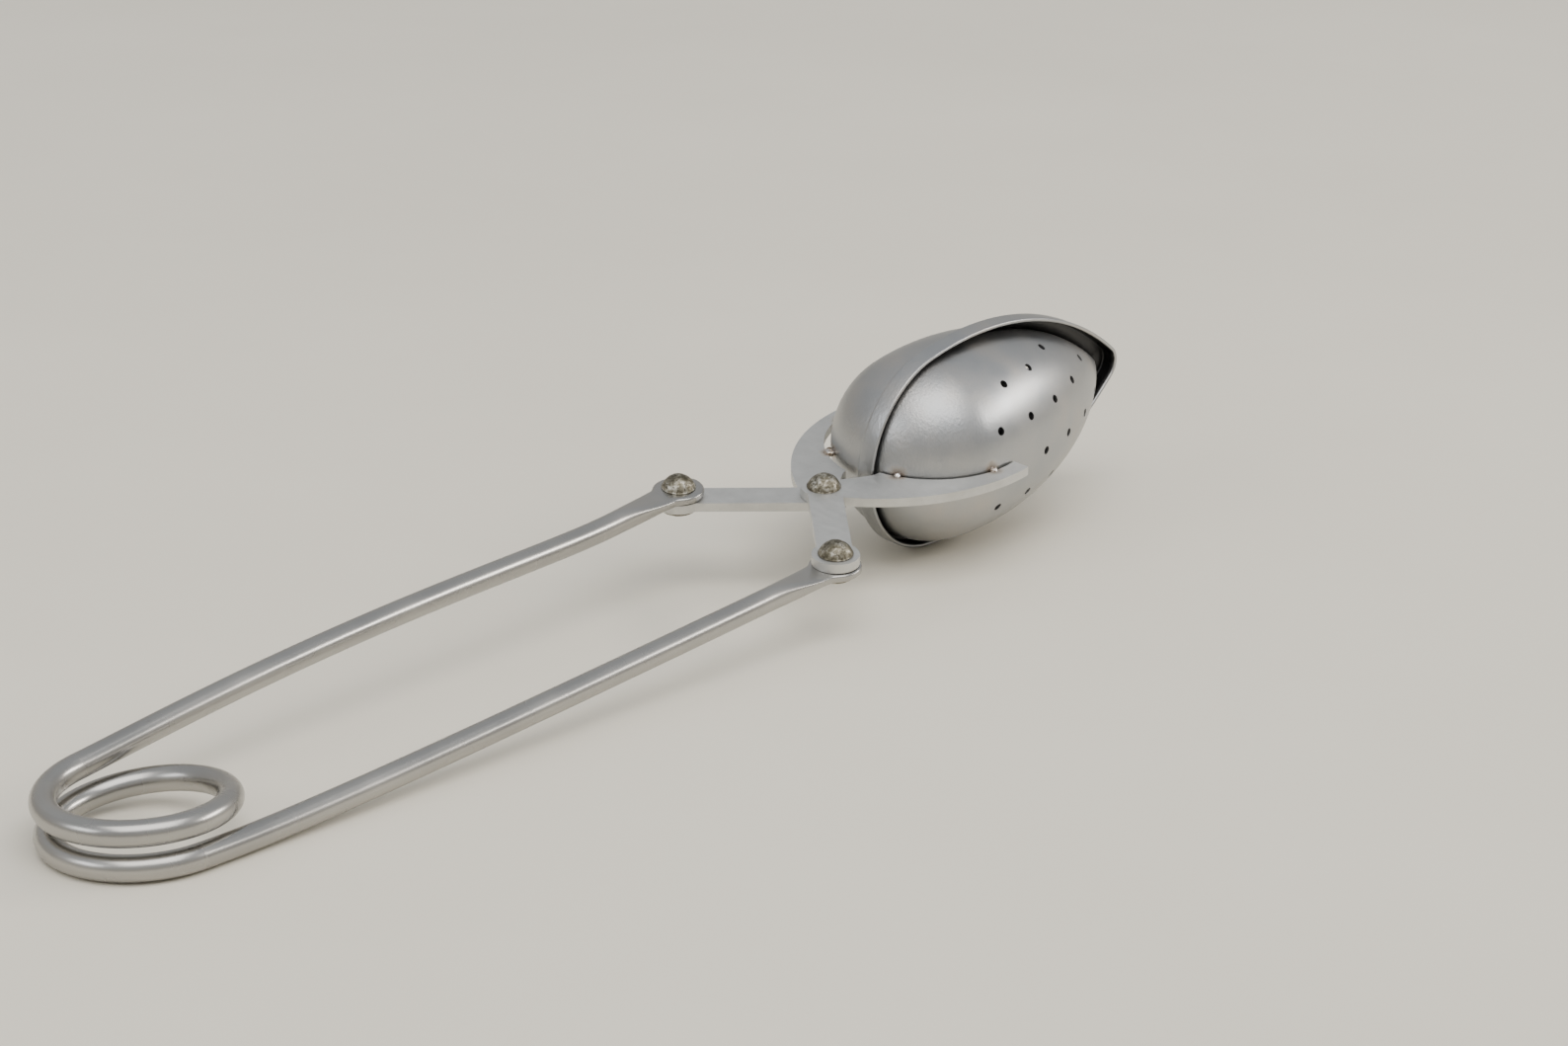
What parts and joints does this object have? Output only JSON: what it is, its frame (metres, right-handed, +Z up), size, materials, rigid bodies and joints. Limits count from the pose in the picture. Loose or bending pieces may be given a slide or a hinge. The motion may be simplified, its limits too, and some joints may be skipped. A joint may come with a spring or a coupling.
{
  "type": "tea infuser",
  "caption": "Wire-handled tea infuser: squeezing the coiled spring handle works two riveted levers that open a perforated, egg-shaped holder.",
  "frame": {"origin": "centre of the bounding box, on the surface that the infuser lies on", "axes": "+X from the coil towards the tip of the egg, +Z up as it lies; the rear arm and the lipped bowl are on the +Y side"},
  "size_m": [0.1804, 0.033, 0.0293],
  "materials": {
    "wire": "satin drawn wire",
    "plate": "matte sheared sheet",
    "rivet": "tarnished, speckled",
    "bowl": "satin pressed sheet",
    "weld": "bright bead with heat tint"
  },
  "bodies": {
    "coil": {"coil_spring": "wire"},
    "rear_handle_arm": {"rear_arm": "wire", "rear_arm_rivet": "rivet"},
    "front_handle_arm": {"front_arm": "wire", "front_arm_rivet": "rivet"},
    "rear_jaw": {"rear_lever": "plate", "rear_bowl": "bowl", "rear_jaw_welds": "weld"},
    "front_jaw": {"front_lever": "plate", "front_bowl": "bowl", "front_jaw_welds": "weld", "main_pivot_rivet": "rivet"}
  },
  "joints": [
    {"name": "rear_arm_squeeze", "type": "hinge", "parent": "coil", "child": "rear_handle_arm", "pos_m": [-0.07852, 0, 0.00108], "axis": [0.0992, 0.0924, -0.9908], "range_deg": [0, 3.8], "stiffness_Nm_per_rad": 10, "springref_deg": -0.86},
    {"name": "front_arm_squeeze", "type": "hinge", "parent": "coil", "child": "front_handle_arm", "pos_m": [-0.07852, 0, 0.00108], "axis": [-0.0992, -0.0924, 0.9908], "range_deg": [0, 3.8], "stiffness_Nm_per_rad": 10, "springref_deg": -0.86},
    {"name": "rear_jaw_open", "type": "hinge", "parent": "rear_handle_arm", "child": "rear_jaw", "pos_m": [0.01827, 0.01324, 0.01201], "axis": [-0.0992, -0.0924, 0.9908], "range_deg": [0, 28.63]},
    {"name": "front_jaw_open", "type": "hinge", "parent": "front_handle_arm", "child": "front_jaw", "pos_m": [0.01851, -0.01324, 0.00957], "axis": [0.0992, 0.0924, -0.9908], "range_deg": [0, 28.63]}
  ],
  "couplings": [
    {"joint": "front_arm_squeeze", "follows": "rear_arm_squeeze", "ratio": 1},
    {"joint": "rear_jaw_open", "follows": "rear_arm_squeeze", "ratio": 7.535},
    {"joint": "front_jaw_open", "follows": "rear_arm_squeeze", "ratio": 7.535}
  ]
}
